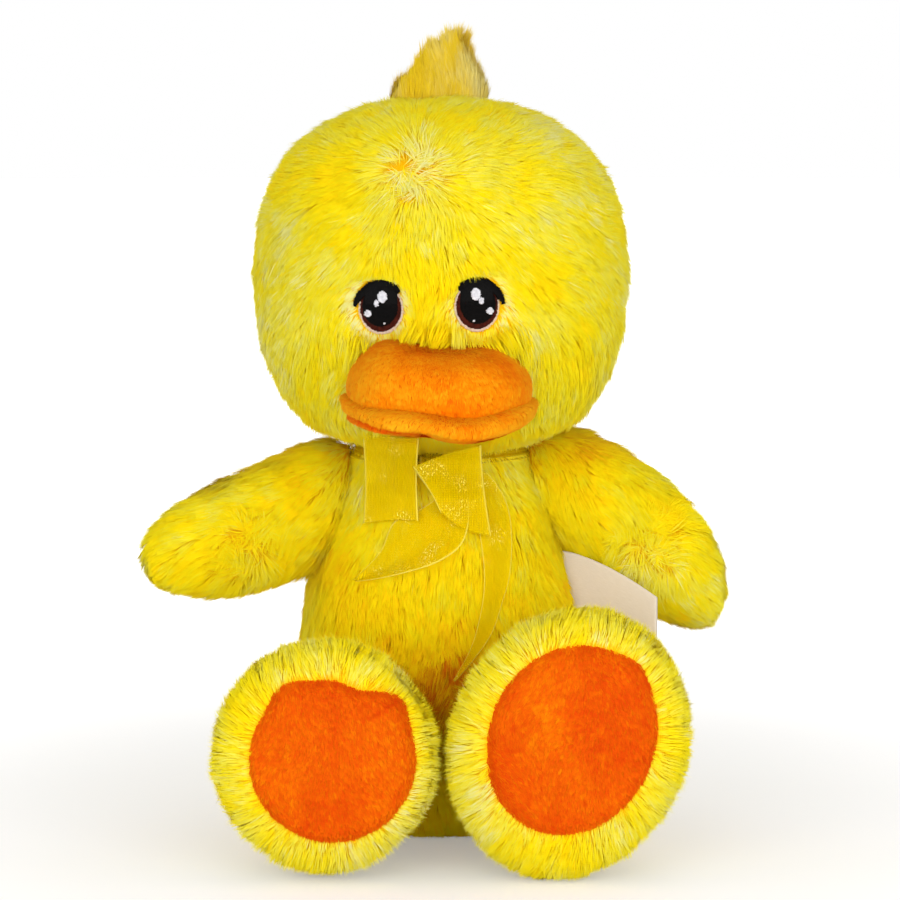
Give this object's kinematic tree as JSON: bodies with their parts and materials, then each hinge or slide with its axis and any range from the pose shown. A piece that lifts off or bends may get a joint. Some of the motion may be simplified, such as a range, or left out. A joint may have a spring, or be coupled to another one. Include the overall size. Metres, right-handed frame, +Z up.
{
  "type": "plush duck",
  "caption": "Seated plush duck with a round head, orange bill and soles, stuffed wings and legs, a pile crest and a sheer ribbon bow.",
  "frame": {"origin": "on the flat underside of the seat, below the middle of the body", "axes": "+Z up, -Y the way the duck faces, +X the duck's left"},
  "size_m": [0.2455, 0.214, 0.35],
  "materials": {
    "body_cover": "long yellow pile",
    "body_stuffing": "white fibre",
    "head_cover": "long yellow pile",
    "head_stuffing": "white fibre",
    "bill_upper_cover": "short orange pile",
    "bill_upper_stuffing": "white fibre",
    "bill_lower_cover": "short orange pile",
    "eye_right": "embroidered thread",
    "eye_left": "embroidered thread",
    "crest": "extra long pile",
    "wing_right_cover": "long yellow pile",
    "wing_right_stuffing": "white fibre",
    "wing_left_cover": "long yellow pile",
    "wing_left_stuffing": "white fibre",
    "leg_right_cover": "long yellow pile",
    "leg_right_stuffing": "white fibre",
    "leg_right_sole": "short orange pile",
    "leg_left_cover": "long yellow pile",
    "leg_left_stuffing": "white fibre",
    "leg_left_sole": "short orange pile",
    "tail_cover": "long yellow pile",
    "tail_stuffing": "white fibre",
    "ribbon_band": "sheer organza",
    "ribbon_knot": "sheer organza",
    "ribbon_loop_right": "sheer organza",
    "ribbon_loop_left": "sheer organza",
    "ribbon_tail_right": "sheer organza",
    "ribbon_tail_left": "sheer organza",
    "label": "white satin tape"
  },
  "bodies": {
    "body": {"body_cover": "body_cover", "body_stuffing": "body_stuffing", "tail_cover": "tail_cover", "tail_stuffing": "tail_stuffing", "ribbon_band": "ribbon_band", "ribbon_knot": "ribbon_knot", "ribbon_loop_right": "ribbon_loop_right", "ribbon_loop_left": "ribbon_loop_left", "ribbon_tail_right": "ribbon_tail_right", "ribbon_tail_left": "ribbon_tail_left", "label": "label"},
    "head": {"head_cover": "head_cover", "head_stuffing": "head_stuffing", "bill_upper_cover": "bill_upper_cover", "bill_upper_stuffing": "bill_upper_stuffing", "bill_lower_cover": "bill_lower_cover", "eye_right": "eye_right", "eye_left": "eye_left", "crest": "crest"},
    "wing_right": {"wing_right_cover": "wing_right_cover", "wing_right_stuffing": "wing_right_stuffing"},
    "wing_left": {"wing_left_cover": "wing_left_cover", "wing_left_stuffing": "wing_left_stuffing"},
    "leg_right": {"leg_right_cover": "leg_right_cover", "leg_right_stuffing": "leg_right_stuffing", "leg_right_sole": "leg_right_sole"},
    "leg_left": {"leg_left_cover": "leg_left_cover", "leg_left_stuffing": "leg_left_stuffing", "leg_left_sole": "leg_left_sole"}
  },
  "joints": [
    {"name": "head_nod", "type": "hinge", "parent": "body", "child": "head", "pos_m": [0, 0, 0.17], "axis": [1, 0, 0], "range_deg": [-8, 2], "stiffness_Nm_per_rad": 0.8},
    {"name": "wing_right_lift", "type": "hinge", "parent": "body", "child": "wing_right", "pos_m": [-0.04336, 0.002, 0.149], "axis": [0, 1, 0], "range_deg": [-10, 20], "stiffness_Nm_per_rad": 0.4},
    {"name": "wing_left_lift", "type": "hinge", "parent": "body", "child": "wing_left", "pos_m": [0.04188, 0.002, 0.1535], "axis": [0, -1, 0], "range_deg": [-10, 20], "stiffness_Nm_per_rad": 0.4},
    {"name": "leg_right_lift", "type": "hinge", "parent": "body", "child": "leg_right", "pos_m": [-0.034, -0.044, 0.04], "axis": [-1, 0, 0], "range_deg": [-8, 12], "stiffness_Nm_per_rad": 0.5},
    {"name": "leg_left_lift", "type": "hinge", "parent": "body", "child": "leg_left", "pos_m": [0.037, -0.044, 0.04], "axis": [-1, 0, 0], "range_deg": [-8, 12], "stiffness_Nm_per_rad": 0.5}
  ]
}
